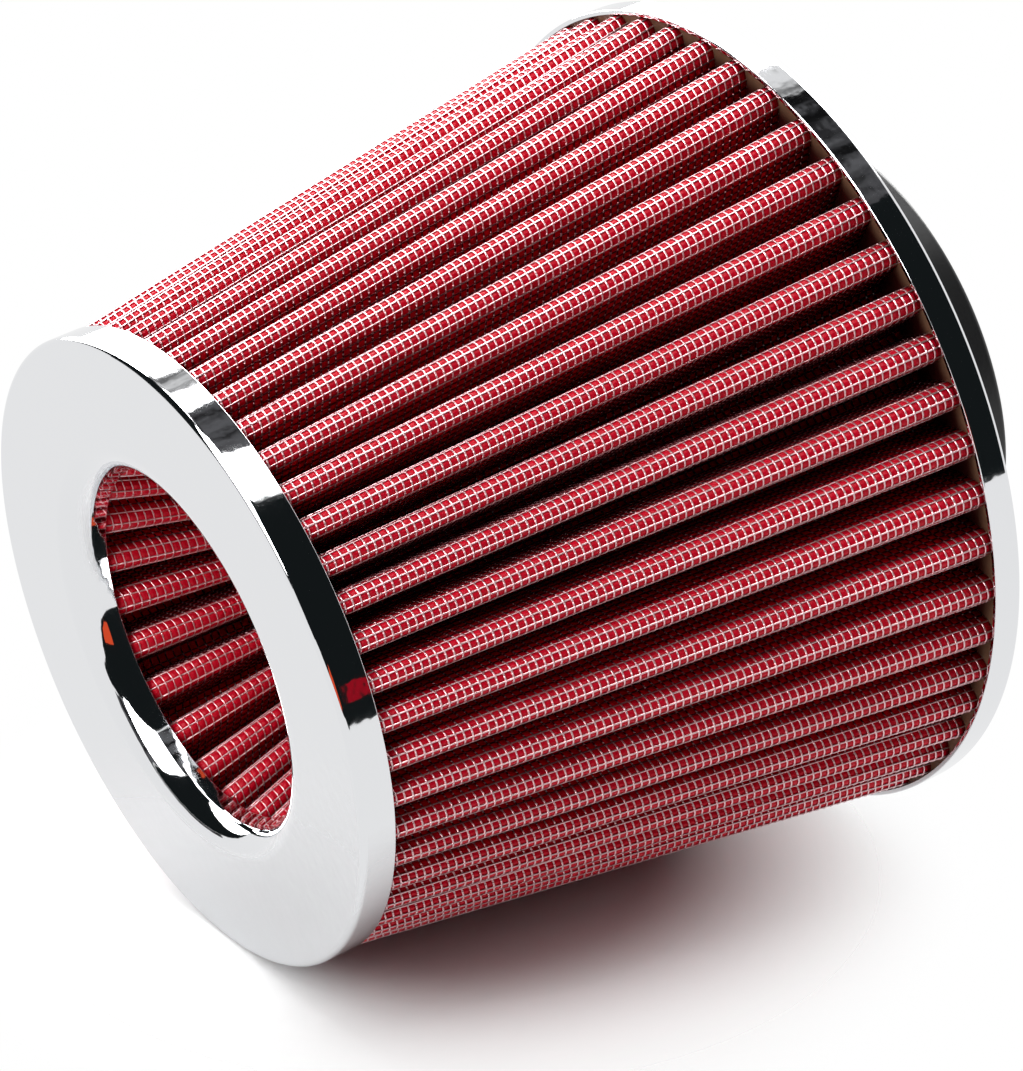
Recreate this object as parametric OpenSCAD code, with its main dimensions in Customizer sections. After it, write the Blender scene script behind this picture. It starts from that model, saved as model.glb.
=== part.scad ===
// Cone air filter with a second, inverted cone inside its front cap.
// The axis is Z. The neck's open end lies at z = 0 and the front cap faces up.

/* [Neck] */
// Inner diameter of the neck, which slides over the intake pipe
neck_bore_d = 76; // [60:0.5:80]
// Wall thickness of the neck
neck_wall = 7; // [3:0.1:8]
// Free length of the neck behind the rear cap
neck_len = 23.9; // [15:0.1:40]
// Width of the flange that holds the neck inside the rear cap
neck_flange_w = 14; // [6:0.5:16]
// Thickness of that flange
neck_flange_t = 2; // [1.5:0.1:3.4]
// Rounding of the neck's open end
neck_edge_r = 1; // [0.3:0.1:1.4]

/* [Rear cap] */
// Outer diameter of the rear cap
rear_cap_d = 155; // [148:0.5:190]
// Height of the rear cap's band
rear_cap_h = 5.7; // [4.8:0.1:9]
// Sheet thickness of the rear cap
rear_cap_t = 0.8; // [0.5:0.1:1.2]
// Outer bend radius between the band and the back plate
rear_bend_r = 0.8; // [0.4:0.1:1.4]
// Width of the rear resin ring, which covers the edge of the neck's flange
rear_resin_w = 20; // [18:0.5:26]
// How far the rear resin lies below the band's edge
rear_resin_drop = 0.7; // [0.2:0.1:1.5]

/* [Front cap] */
// Outer diameter of the front cap
front_cap_d = 118.4; // [112:0.1:140]
// Height of the front cap's skirt
front_cap_h = 6.8; // [5.5:0.1:9]
// Sheet thickness of the front cap
front_cap_t = 0.6; // [0.4:0.1:1]
// Outer bend radius at the rim of the face
rim_r = 1.2; // [0.6:0.1:2]
// Inner diameter of the throat at its rear edge
throat_d = 66.1; // [56:0.1:74]
// Radius of the rolled lip between the face and the throat's collar
lip_r = 5.8; // [4.5:0.1:12]
// How far the lip ends in front of the pleats
lip_rise = 1.7; // [0.3:0.1:2.2]
// Height of the collar behind the lip
throat_len = 2.4; // [1.8:0.1:4]
// Slant of the collar, which narrows towards the rear, in degrees
throat_lean = 15; // [8:0.5:24]
// How far the front resin lies inside the skirt's edge
front_resin_drop = 0.8; // [0.2:0.1:1.5]

/* [Pleats] */
// Length of the outer pleats that shows between the two caps
outer_len = 114.2; // [80:0.1:160]
// Number of outer pleats
outer_count = 51; // [36:1:56]
// Depth of the outer pleats
outer_depth = 11.5; // [8:0.1:13]
// Number of inner pleats
inner_count = 25; // [16:1:28]
// Length of the inner pleats
inner_len = 52; // [35:0.5:60]
// Half angle of the inner cone, which narrows towards the rear
inner_taper = 19; // [10:0.5:22]
// Turn of the inner pleats against the outer ones
inner_turn = 5.2; // [0:0.1:14]
// Thickness of the pleated gauze between its two wire screens
gauze_t = 1; // [0.6:0.1:1.3]
// Width of a fold as a share of the spacing of the folds
fold_share = 0.52; // [0.4:0.01:0.58]
// How far a fold strays from even spacing, in degrees
fold_sway = 0.4; // [0:0.05:0.8]

/* [Inner end cap] */
// Thickness of the disc that closes the inner cone
end_cap_t = 3; // [1.5:0.1:5]
// Height of its rim round the inner pleats
end_cap_rim_h = 4; // [2:0.1:8]
// Wall thickness of its rim
end_cap_rim_t = 1.6; // [1:0.1:3]

/* [Clearances] */
// Clearance between the pleats' folds and the caps that hold them
fold_clearance = 0.25; // [0.1:0.05:0.5]
// Gap between the outer and the inner pleats at the front
pack_gap = 1.5; // [0.8:0.1:3]
// Clearance between the neck and the hole in the rear cap
neck_clearance = 0.2; // [0.1:0.05:0.5]

/* [Hidden] */
$fn = 160;

// How far a cutter reaches past what it cuts
cut = 1;
// Smallest radius on the inside of a fold, where the gauze can't bend tighter
fold_inside_r = 0.1;
// Number of straight steps round a fold that shows and round a hidden one
steps_showing = 8;
steps_hidden = 4;
// Number of straight steps round the lip
lip_steps = 10;
// The swayed folds swing this many times round the filter, from these angles
sway_waves = 5;
sway_start_rear = 254;
sway_start_front = 214;

chrome_colour = [0.82, 0.83, 0.85];
rubber_colour = [0.07, 0.07, 0.08];
gauze_colour = [0.70, 0.07, 0.13];
resin_colour = [0.62, 0.52, 0.42];

// Heights, from the neck's open end upwards
rear_cap_z = neck_len;
rear_edge_z = rear_cap_z + rear_cap_h;
front_edge_z = rear_edge_z + outer_len;
face_z = front_edge_z + front_cap_h;
pleats_rear_z = rear_edge_z - rear_resin_drop;
pleats_front_z = front_edge_z + front_resin_drop;
back_plate_z = rear_cap_z + rear_cap_t;
lip_z = pleats_front_z + lip_rise;
throat_z = lip_z - throat_len;
end_cap_z = pleats_front_z - inner_len;

// Radii of the pressed and moulded parts
neck_bore_r = neck_bore_d / 2;
neck_r = neck_bore_r + neck_wall;
flange_r = neck_r + neck_flange_w;
rear_cap_r = rear_cap_d / 2;
rear_resin_r = rear_cap_r - rear_cap_t - rear_resin_w;
front_cap_r = front_cap_d / 2;
throat_r = throat_d / 2;

// Radius of the throat's slanted collar at height z, inset by a sheet's thickness
function collar_r(z, inset = 0) =
    throat_r + (z - throat_z) * tan(throat_lean) + inset / cos(throat_lean);

// The lip is an arc that leaves the face level and meets the collar at this slant
lip_slant = asin(1 - (face_z - lip_z) / lip_r);
lip_centre = [collar_r(lip_z) + lip_r * cos(lip_slant), face_z - lip_r];

// Radii of the folds: [at the rear end, at the front end]
outer_tip_r = [rear_cap_r - rear_cap_t - fold_clearance,
               front_cap_r - front_cap_t - fold_clearance];
outer_root_r = [outer_tip_r[0] - outer_depth, outer_tip_r[1] - outer_depth];
inner_tip_front_r = collar_r(pleats_front_z, front_cap_t) + fold_clearance;
inner_root_front_r = outer_root_r[1] - pack_gap;
inner_fall = inner_len * tan(inner_taper);
inner_tip_r = [inner_tip_front_r - inner_fall, inner_tip_front_r];
inner_root_r = [inner_root_front_r - inner_fall, inner_root_front_r];
end_cap_rim_r = inner_root_r[0] + end_cap_rim_h * tan(inner_taper) + fold_clearance;

// A point at a radius and an angle
function polar(r, a) = [r * cos(a), r * sin(a)];

// How far fold k strays from even spacing, at one end of the pleats
function sway(k, count, start) = fold_sway * sin(sway_waves * 360 * k / count + start);

// Radius of a fold whose crest reaches r_crest, with side 1 outward and -1 inward:
// its width is a share of the spacing at its own centre, as far as the gauze can bend
function fold_r(r_crest, count, side) =
    let (half = fold_share * 180 / count, s = half * PI / 180)
    max(r_crest * s / (1 + side * s), gauze_t + fold_inside_r);

// Angle at which the flank from an outward fold's centre po to an inward fold's centre
// pi leaves the outward fold, when both folds' radii add up to reach
function flank(po, pi, a, reach, side) =
    let (u = po - pi,
         v = [u[0] * cos(a) + u[1] * sin(a), u[1] * cos(a) - u[0] * sin(a)])
    a + side * (180 - acos(reach / norm(u))) + atan2(v[1], v[0]);

// Points on an arc round c, from angle a0 to angle a1 in n steps
function arc(c, r, a0, a1, n) = [for (i = [0:n]) c + polar(r, a0 + (a1 - a0) * i / n)];

// One side of the folded sheet: the folds are arcs and the flanks join them.
// skin 0 is the sheet's outward side and skin 1 its inward side.
function sheet_side(count, r_out, r_in, turn, start, skin, n_out, n_in) =
    let (f_out = fold_r(r_out, count, 1),
         f_in = fold_r(r_in, count, -1),
         reach = f_out + f_in - gauze_t,
         arc_out = f_out - skin * gauze_t,
         arc_in = f_in - (1 - skin) * gauze_t)
    [for (k = [0:count - 1])
        let (a0 = turn + 360 * k / count + sway(k, count, start),
             a1 = turn + 360 * (k + 1) / count + sway(k + 1, count, start),
             a_before = turn + 360 * (k - 0.5) / count + sway(k - 0.5, count, start),
             a_after = turn + 360 * (k + 0.5) / count + sway(k + 0.5, count, start),
             c_out = polar(r_out - f_out, a0),
             c_next = polar(r_out - f_out, a1),
             c_before = polar(r_in + f_in, a_before),
             c_after = polar(r_in + f_in, a_after),
             first = flank(c_out, c_before, a0, reach, -1),
             last = flank(c_out, c_after, a0, reach, 1),
             next = flank(c_next, c_after, a1, reach, -1))
        each concat(arc(c_out, arc_out, first, last, n_out),
                    arc(c_after, arc_in, last + 180, next + 180, n_in))];

function at_height(points, z) = [for (p = points) [p[0], p[1], z]];

// A sheet folded into pleats, tapered from z0 to z1: r_out and r_in are the radii of the
// outward and the inward folds at the two ends
module pleated_sheet(count, r_out, r_in, z0, z1, turn, n_out, n_in) {
    rear = [for (skin = [0, 1])
        at_height(sheet_side(count, r_out[0], r_in[0], turn, sway_start_rear,
                             skin, n_out, n_in), z0)];
    front = [for (skin = [0, 1])
        at_height(sheet_side(count, r_out[1], r_in[1], turn, sway_start_front,
                             skin, n_out, n_in), z1)];
    m = len(rear[0]);
    // Rings of points: outward side rear and front, inward side rear and front
    out_rear = 0;
    out_front = m;
    in_rear = 2 * m;
    in_front = 3 * m;
    polyhedron(
        points = concat(rear[0], front[0], rear[1], front[1]),
        faces = [for (i = [0:m - 1]) let (j = (i + 1) % m) each concat(
            strip(out_rear, out_front, i, j),
            strip(in_front, in_rear, i, j),
            strip(out_front, in_front, i, j),
            strip(in_rear, out_rear, i, j))],
        convexity = 20);
}

// Two triangles between ring a and ring b
function strip(a, b, i, j) = [[a + i, b + i, b + j], [a + i, b + j, a + j]];

// A corner cutter: what lies between a square corner at c and a quarter circle of radius r
module corner(c, r, sx, sy) {
    translate(c) scale([sx, sy]) difference() {
        translate([-r, -r]) square(2 * r);
        translate([-r, -r]) circle(r);
        translate([-2 * r, -2 * r]) square([2 * r, r]);
        translate([-2 * r, -2 * r]) square([r, 2 * r]);
    }
}

// Half section of the front cap, filled from the throat to the skirt and from z0 to the
// face: inset 0 gives its outside and the sheet thickness gives its inside
module front_outline(inset, z0) {
    right = front_cap_r - inset;
    top = face_z - inset;
    difference() {
        polygon(concat(
            [[collar_r(z0, inset), z0], [right, z0], [right, top]],
            arc(lip_centre, lip_r - inset, 90, 180 - lip_slant, lip_steps)));
        corner([right, top], rim_r - inset, 1, 1);
    }
}

module front_cap() {
    color(chrome_colour) rotate_extrude() difference() {
        front_outline(0, throat_z);
        front_outline(front_cap_t, throat_z - cut);
        // The skirt ends at its own edge
        translate([lip_centre[0], throat_z - cut])
            square([front_cap_r, front_edge_z - throat_z + cut]);
    }
}

module front_resin() {
    color(resin_colour) rotate_extrude() front_outline(front_cap_t, pleats_front_z);
}

module outer_pleats() {
    color(gauze_colour)
        pleated_sheet(outer_count, outer_tip_r, outer_root_r, pleats_rear_z, pleats_front_z,
                      0, steps_showing, steps_hidden);
}

module inner_pleats() {
    color(gauze_colour)
        pleated_sheet(inner_count, inner_root_r, inner_tip_r, end_cap_z, pleats_front_z,
                      inner_turn, steps_hidden, steps_showing);
}

module inner_end_cap() {
    color(rubber_colour) rotate_extrude() {
        translate([0, end_cap_z - end_cap_t])
            square([end_cap_rim_r + end_cap_rim_t, end_cap_t]);
        translate([end_cap_rim_r, end_cap_z]) square([end_cap_rim_t, end_cap_rim_h]);
    }
}

module rear_resin() {
    color(resin_colour) translate([0, 0, back_plate_z]) rotate_extrude() difference() {
        translate([rear_resin_r, 0]) square([rear_resin_w, pleats_rear_z - back_plate_z]);
        translate([0, -cut]) square([flange_r, neck_flange_t + cut]);
    }
}

module rear_cap() {
    color(chrome_colour) rotate_extrude() difference() {
        translate([neck_r + neck_clearance, rear_cap_z])
            square([rear_cap_r - neck_r - neck_clearance, rear_cap_h]);
        corner([rear_cap_r, rear_cap_z], rear_bend_r, 1, -1);
        translate([0, back_plate_z]) square([rear_cap_r - rear_cap_t, rear_cap_h]);
    }
}

module neck() {
    color(rubber_colour) difference() {
        union() {
            rotate_extrude() difference() {
                square([neck_r, back_plate_z + neck_flange_t]);
                corner([neck_r, 0], neck_edge_r, 1, -1);
            }
            translate([0, 0, back_plate_z]) cylinder(r = flange_r, h = neck_flange_t);
        }
        translate([0, 0, -cut])
            cylinder(r = neck_bore_r, h = back_plate_z + neck_flange_t + 2 * cut);
    }
}

front_cap();
front_resin();
outer_pleats();
inner_pleats();
inner_end_cap();
rear_resin();
rear_cap();
neck();
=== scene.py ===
"""Looks of a cone air filter: chromed caps, red pleated gauze under a wire screen, a rubber neck.

The filter's axis is +Z, from the neck to the front cap. Sizes are in millimetres, as on a
drawing, and MM turns them to metres where a mesh or a node needs them.
"""

import logging
import math
from dataclasses import dataclass, field
from enum import Enum

import bmesh
import bpy
import numpy as np
from mathutils import Matrix, Vector
from mathutils.geometry import tessellate_polygon


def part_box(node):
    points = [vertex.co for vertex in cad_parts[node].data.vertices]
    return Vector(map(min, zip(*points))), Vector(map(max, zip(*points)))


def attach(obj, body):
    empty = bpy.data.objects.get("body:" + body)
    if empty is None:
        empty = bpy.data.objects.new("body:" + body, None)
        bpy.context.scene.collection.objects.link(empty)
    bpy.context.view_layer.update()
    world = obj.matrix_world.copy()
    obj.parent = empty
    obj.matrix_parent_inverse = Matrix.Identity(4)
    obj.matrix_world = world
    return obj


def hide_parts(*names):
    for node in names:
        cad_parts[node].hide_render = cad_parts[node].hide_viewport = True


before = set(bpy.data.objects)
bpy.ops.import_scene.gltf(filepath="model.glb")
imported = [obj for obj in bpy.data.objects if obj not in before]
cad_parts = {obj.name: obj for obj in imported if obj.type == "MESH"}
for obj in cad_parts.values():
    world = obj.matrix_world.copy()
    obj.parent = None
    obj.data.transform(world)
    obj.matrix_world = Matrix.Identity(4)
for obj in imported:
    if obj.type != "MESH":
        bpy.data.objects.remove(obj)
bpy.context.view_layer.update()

LOG = logging.getLogger("air_filter")
MM = 0.001
BODY = "root"

# The screens' cells across and along the pleats, which also space the gauze's swells
SCREEN_CELL = (1.62, 1.5)
TUBE_SIDES = 3

# Settings of nodes that several finishes use, and the index of a colour mix's output
SMOOTH = {"interpolation_type": "SMOOTHSTEP"}
COLOURS = {"data_type": "RGBA"}
MIXED = 2

Pair = tuple[float, float]


class End(Enum):
    """An end of the pack of pleats, as its index in a pair of sizes."""

    REAR = 0
    FRONT = 1


class Skin(Enum):
    """A side of the folded sheet, as the share of its thickness inwards from the outward side."""

    OUTWARD = 0.0
    INWARD = 1.0


class Bend(Enum):
    """How a corner is rounded: the bend's radius in millimetres, and its straight steps."""

    PRESSED_CREASE = (0.2, 2)
    PRESSED_RIM = (1.2, 8)
    PRESSED_BAND = (0.8, 8)
    SKIRT_EDGE = (0.2, 3)
    THROAT_EDGE = (0.15, 3)
    BAND_EDGE = (0.25, 3)
    NECK_END = (1.0, 5)
    MOULDED_LIP = (0.8, 4)
    MOULDED_RIM = (0.5, 3)
    MOULDED_INSIDE = (0.4, 3)
    CAST_EDGE = (0.6, 4)


Rounding = tuple[float, float, Bend]


def linear(hex_colour: str) -> tuple[float, float, float, float]:
    """Turns an sRGB hex colour to linear light.

    Args:
        hex_colour: Six hex digits, such as "C0C0C0".

    Returns:
        Linear red, green, blue and an alpha of 1.
    """
    channels = [int(hex_colour[i : i + 2], 16) / 255 for i in (0, 2, 4)]
    light = [c / 12.92 if c <= 0.04045 else ((c + 0.055) / 1.055) ** 2.4 for c in channels]
    return (*light, 1.0)


def cad_corners(node: str) -> tuple[Vector, Vector]:
    """The lowest and highest corners of a CAD node's box, in millimetres."""
    low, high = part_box(node)
    return low / MM, high / MM


def cad_radius(node: str) -> float:
    """The outer radius of a CAD node that is round about the axis, in millimetres."""
    return cad_corners(node)[1].x


class NodeBoard:
    """A material's or the world's node tree, with one way to add a node."""

    def __init__(self, owner: bpy.types.ID) -> None:
        """Clears the owner's tree.

        Args:
            owner: A material or a world.
        """
        owner.use_nodes = True
        self.tree = owner.node_tree
        self.tree.nodes.clear()

    def add(self, kind: str, settings: dict | None = None, **inputs: object) -> bpy.types.Node:
        """Adds a node, sets its properties and fills or links its sockets.

        Args:
            kind: The node's type, without the leading ShaderNode.
            settings: Properties of the node, by name.
            **inputs: Values, output sockets, or nodes for their first output, by the socket's
                name in lower case with underscores, or by its number after an s, such as s0.

        Returns:
            The new node.
        """
        node = self.tree.nodes.new("ShaderNode" + kind)
        for name, value in (settings or {}).items():
            setattr(node, name, value)
        sockets = {s.name.lower().replace(" ", "_"): s for s in reversed(node.inputs)}
        for name, value in inputs.items():
            socket = node.inputs[int(name[1:])] if name[1:].isdigit() else sockets[name]
            if isinstance(value, bpy.types.Node):
                value = value.outputs[0]
            if isinstance(value, bpy.types.NodeSocket):
                self.tree.links.new(value, socket)
            else:
                socket.default_value = value
        return node


@dataclass(frozen=True)
class Finish:
    """What every finish has: a name and a way to make its material."""

    name: str

    def material(self) -> bpy.types.Material:
        """Makes the material.

        Returns:
            The new material, dressed by the finish's own nodes.
        """
        made = bpy.data.materials.new(self.name)
        board = NodeBoard(made)
        board.add("OutputMaterial", surface=self.surface(board))
        return made

    def surface(self, board: NodeBoard) -> bpy.types.Node:
        """Adds the finish's nodes to the board and returns the shader."""
        raise NotImplementedError


@dataclass(frozen=True)
class ChromePlate(Finish):
    """Bright chrome on pressed steel: a mirror whose waves and ripples bend the reflections."""

    name: str = "bright_chrome_on_pressed_steel"
    colour: str = "E9EAEC"
    roughness: float = 0.045
    wave_mm: float = 16.0
    wave_height_mm: float = 0.08
    ripple_mm: float = 2.4
    ripple_height_mm: float = 0.018
    detail: float = 1.0

    def surface(self, board: NodeBoard) -> bpy.types.Node:
        """Mirror with a long, low wave from the press and a ripple from the polishing wheel.

        Args:
            board: The material's board.

        Returns:
            The shader.
        """
        place = board.add("TexCoord").outputs["Object"]
        bump = None
        for size, height in (
            (self.wave_mm, self.wave_height_mm),
            (self.ripple_mm, self.ripple_height_mm),
        ):
            noise = board.add("TexNoise", vector=place, scale=1 / (size * MM), detail=self.detail)
            under = {"normal": bump} if bump else {}
            bump = board.add("Bump", height=noise, distance=height * MM, **under)
        return board.add(
            "BsdfPrincipled",
            base_color=linear(self.colour),
            metallic=1.0,
            roughness=self.roughness,
            normal=bump,
        )


@dataclass(frozen=True)
class WireScreen(Finish):
    """Drawn aluminium wire, woven to a screen.

    Its colour is painted light: it is painted bright on the crests and at its crossings as a
    painted highlight, and dark red in the folds and on the flanks as painted shade.
    """

    name: str = "drawn_aluminium_wire"
    # The wire's painted highlight colour, then its painted shade colour for the folds and flanks
    bright: str = "FFD2D6"
    recess_dark: str = "5E0C16"
    metallic: float = 0.7
    roughness: float = 0.3
    cell_mm: Pair = SCREEN_CELL
    knuckle_span: Pair = (0.05, 0.18)
    knuckle_mm: float = 0.12
    # Where the crest's painted highlight starts and its share there, and the share of painted glint
    # at the crossings on the flanks, with more of it on the crests
    crest_start: float = 0.9
    crest_highlight: float = 0.95
    flank_glint: float = 0.6
    crest_glint_more: float = 0.4

    def off_crossing(self, board: NodeBoard, along: object, pitch: float) -> bpy.types.Node:
        """Distance to the nearest wire of the other direction.

        Args:
            board: The material's board.
            along: The place along the wire, in millimetres.
            pitch: The spacing of the other wires, in millimetres.

        Returns:
            The distance, as a share of the pitch.
        """
        steps = (("MULTIPLY", 1 / pitch), ("ADD", 0.5), ("FRACT", 0), ("SUBTRACT", 0.5))
        for operation, value in (*steps, ("ABSOLUTE", 0)):
            along = board.add("Math", {"operation": operation}, s0=along, s1=value)
        return along

    def surface(self, board: NodeBoard) -> bpy.types.Node:
        """Metal with knuckles at the crossings, painted bright on the crests and crossings as a
        painted highlight, and dark red in the folds as painted shade.

        Args:
            board: The material's board.

        Returns:
            The shader.
        """
        flat = board.add("UVMap", {"uv_map": PleatPack.FLAT_CLOTH})
        across = board.add("SeparateXYZ", vector=flat)
        gaps = [self.off_crossing(board, across.outputs[i], self.cell_mm[i]) for i in (0, 1)]
        gap = board.add("Math", {"operation": "MAXIMUM"}, s0=gaps[0], s1=gaps[1])
        near, far = self.knuckle_span
        knuckle = board.add("MapRange", SMOOTH, value=gap, s1=near, s2=far, s3=1.0, s4=0.0)
        # Painted light: bright on the crests and at the crossings as a painted highlight, dark red
        # in the folds and on the flanks as painted shade
        crest = board.add("Attribute", {"attribute_name": PleatPack.CREST}).outputs["Fac"]
        lit_crest = board.add("MapRange", SMOOTH, value=crest, s1=self.crest_start)
        crest_highlight_share = board.add("Math", {"operation": "MULTIPLY"}, s0=lit_crest, s1=self.crest_highlight)
        glint_share = board.add(
            "Math",
            {"operation": "MULTIPLY_ADD"},
            s0=lit_crest,
            s1=self.crest_glint_more,
            s2=self.flank_glint,
        )
        painted_glint = board.add("Math", {"operation": "MULTIPLY"}, s0=knuckle, s1=glint_share)
        painted_highlight = board.add("Math", {"operation": "MAXIMUM"}, s0=crest_highlight_share, s1=painted_glint)
        shade = board.add("Mix", COLOURS, s0=painted_highlight, s6=linear(self.recess_dark), s7=linear(self.bright))
        bump = board.add("Bump", height=knuckle, distance=self.knuckle_mm * MM)
        return board.add(
            "BsdfPrincipled",
            base_color=shade.outputs[MIXED],
            metallic=self.metallic,
            roughness=self.roughness,
            normal=bump,
        )


@dataclass(frozen=True)
class OiledGauze(Finish):
    """Woven cotton gauze soaked in red filter oil: a damp cloth with a soft gleam.

    It swells a little through each cell of the wire screen, its folds away from the crests are
    painted a brighter, purer red as painted light that lifts their shade, and its threads are about
    three to a cell.
    """

    name: str = "oiled_cotton_gauze"
    cell_mm: Pair = SCREEN_CELL
    thread_mm: float = 0.54
    thread_height_mm: float = 0.05
    thread_strength: float = 0.7
    swell_mm: float = 0.3
    oil_mm: float = 1.9
    # How sharply, as a power of the crest attribute, the painted light off the crests gives way to
    # the cloth's own red on them
    fold_lift_power: float = 2.0
    deep: str = "CC0320"
    bright: str = "EE0C32"
    # Painted light: a brighter, purer red for the folds off the crests, that lifts their shade
    fold_lift_red: str = "E80418"
    roughness: float = 0.34
    gleam: float = 0.2

    def ridge(self, board: NodeBoard, along: object, pitch: float) -> bpy.types.Node:
        """A row of smooth humps, from 0 at their edges to 1 in the middle.

        Args:
            board: The material's board.
            along: The place across the humps, in millimetres.
            pitch: The width of a hump, in millimetres.

        Returns:
            The humps' height.
        """
        for operation, value in (("MULTIPLY", math.pi / pitch), ("SINE", 0), ("ABSOLUTE", 0)):
            along = board.add("Math", {"operation": operation}, s0=along, s1=value)
        return along

    def surface(self, board: NodeBoard) -> bpy.types.Node:
        """Red cloth with the swell of its cells, its threads, uneven oil, and painted light in its
        folds.

        Args:
            board: The material's board.

        Returns:
            The shader.
        """
        flat = board.add("UVMap", {"uv_map": PleatPack.FLAT_CLOTH})
        across = board.add("SeparateXYZ", vector=flat)
        humps, weave = (
            board.add(
                "Math",
                {"operation": "MULTIPLY"},
                s0=self.ridge(board, across.outputs[0], pitches[0]),
                s1=self.ridge(board, across.outputs[1], pitches[1]),
            )
            for pitches in (self.cell_mm, (self.thread_mm, self.thread_mm))
        )
        swell = board.add("Math", {"operation": "SQRT"}, s0=humps)
        swell_bump = board.add("Bump", height=swell, distance=self.swell_mm * MM)
        weave_bump = board.add(
            "Bump",
            height=weave,
            distance=self.thread_height_mm * MM,
            strength=self.thread_strength,
            normal=swell_bump,
        )
        oil = board.add("TexNoise", vector=flat, scale=1 / self.oil_mm, detail=3.0)
        shade = board.add("Mix", COLOURS, s0=oil, s6=linear(self.deep), s7=linear(self.bright))
        # Painted light: the flanks and folds off the crests take a brighter, purer red that lifts
        # their shade
        crest = board.add("Attribute", {"attribute_name": PleatPack.CREST}).outputs["Fac"]
        crest_weight = board.add("Math", {"operation": "POWER"}, s0=crest, s1=self.fold_lift_power)
        fold_lifted = board.add("Mix", COLOURS, s0=crest_weight, s6=linear(self.fold_lift_red), s7=shade.outputs[MIXED])
        return board.add(
            "BsdfPrincipled",
            base_color=fold_lifted.outputs[MIXED],
            roughness=self.roughness,
            specular_ior_level=self.gleam,
            normal=weave_bump,
        )


@dataclass(frozen=True)
class MouldedRubber(Finish):
    """Black rubber from a mould: satin, with the mould's faint grain."""

    name: str = "moulded_black_rubber"
    colour: str = "141415"
    grain_mm: float = 0.7
    grain_height_mm: float = 0.02
    patch_mm: float = 14.0
    patch_roughness: Pair = (0.32, 0.48)

    def surface(self, board: NodeBoard) -> bpy.types.Node:
        """Black with a fine grain and patches of slightly different gloss.

        Args:
            board: The material's board.

        Returns:
            The shader.
        """
        place = board.add("TexCoord").outputs["Object"]
        grain, patches = (
            board.add("TexNoise", vector=place, scale=1 / (size * MM), detail=2.0)
            for size in (self.grain_mm, self.patch_mm)
        )
        bump = board.add("Bump", height=grain, distance=self.grain_height_mm * MM)
        least, most = self.patch_roughness
        rough = board.add("MapRange", value=patches, s3=least, s4=most)
        return board.add(
            "BsdfPrincipled", base_color=linear(self.colour), roughness=rough, normal=bump
        )


@dataclass(frozen=True)
class CastResin(Finish):
    """Polyurethane resin, cast round the ends of the pleats: beige, smooth and uneven in tone.

    It is darker and redder as far out as dark_inside_mm from the axis, down between the pleats, and
    plain beige from plain_from_mm.
    """

    name: str = "cast_polyurethane_resin"
    light: str = "9A7A5E"
    dark: str = "5A3A2A"
    recess_dark: str = "3A0C0A"
    dark_inside_mm: float = 72.0
    plain_from_mm: float = 76.2
    stain_mm: float = 6.0
    pit_mm: float = 0.8
    pit_depth_mm: float = 0.05
    roughness: float = 0.42

    def surface(self, board: NodeBoard) -> bpy.types.Node:
        """Beige with random darker stains, darker and redder towards the axis, and small pits.

        Args:
            board: The material's board.

        Returns:
            The shader.
        """
        place = board.add("TexCoord").outputs["Object"]
        stain = board.add("TexNoise", vector=place, scale=1 / (self.stain_mm * MM), detail=3.0)
        shade = board.add("Mix", COLOURS, s0=stain, s6=linear(self.dark), s7=linear(self.light))
        # Darker and redder inwards, down between the pleats, by radius alone
        flat = board.add("VectorMath", {"operation": "MULTIPLY"}, s0=place, s1=(1, 1, 0))
        radius = board.add("VectorMath", {"operation": "LENGTH"}, s0=flat).outputs["Value"]
        near, far = self.dark_inside_mm * MM, self.plain_from_mm * MM
        outward_share = board.add("MapRange", SMOOTH, value=radius, s1=near, s2=far)
        toned = board.add(
            "Mix", COLOURS, s0=outward_share, s6=linear(self.recess_dark), s7=shade.outputs[MIXED]
        )
        pits = board.add("TexNoise", vector=place, scale=1 / (self.pit_mm * MM), detail=1.0)
        bump = board.add("Bump", height=pits, distance=self.pit_depth_mm * MM)
        return board.add(
            "BsdfPrincipled",
            base_color=toned.outputs[MIXED],
            roughness=self.roughness,
            normal=bump,
        )


@dataclass(frozen=True)
class PaleFloor(Finish):
    """A white studio table, seen only from its upper side, that fades into the backdrop."""

    name: str = "white_studio_table"
    near_mm: float = 36.0
    far_mm: float = 100.0
    lit: str = "E6E6E6"
    seen_white: float = 1.12

    def surface(self, board: NodeBoard) -> bpy.types.Node:
        """White paper that turns clear with distance and when seen from below.

        Args:
            board: The material's board.

        Returns:
            The shader.
        """
        place = board.add("TexCoord").outputs["Object"]
        away = board.add("VectorMath", {"operation": "LENGTH"}, s0=place).outputs["Value"]
        near, far = self.near_mm * MM, self.far_mm * MM
        fade = board.add("MapRange", SMOOTH, value=away, s1=near, s2=far)
        behind = board.add("NewGeometry").outputs["Backfacing"]
        clear = board.add("Math", {"operation": "MAXIMUM"}, s0=fade, s1=behind)
        seen = board.add("LightPath").outputs["Is Camera Ray"]
        bright = (self.seen_white, self.seen_white, self.seen_white, 1)
        white = board.add("Mix", COLOURS, s0=seen, s6=linear(self.lit), s7=bright)
        paper = board.add("BsdfDiffuse", color=white.outputs[MIXED])
        return board.add("MixShader", s0=clear, s1=paper, s2=board.add("BsdfTransparent"))


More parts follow.
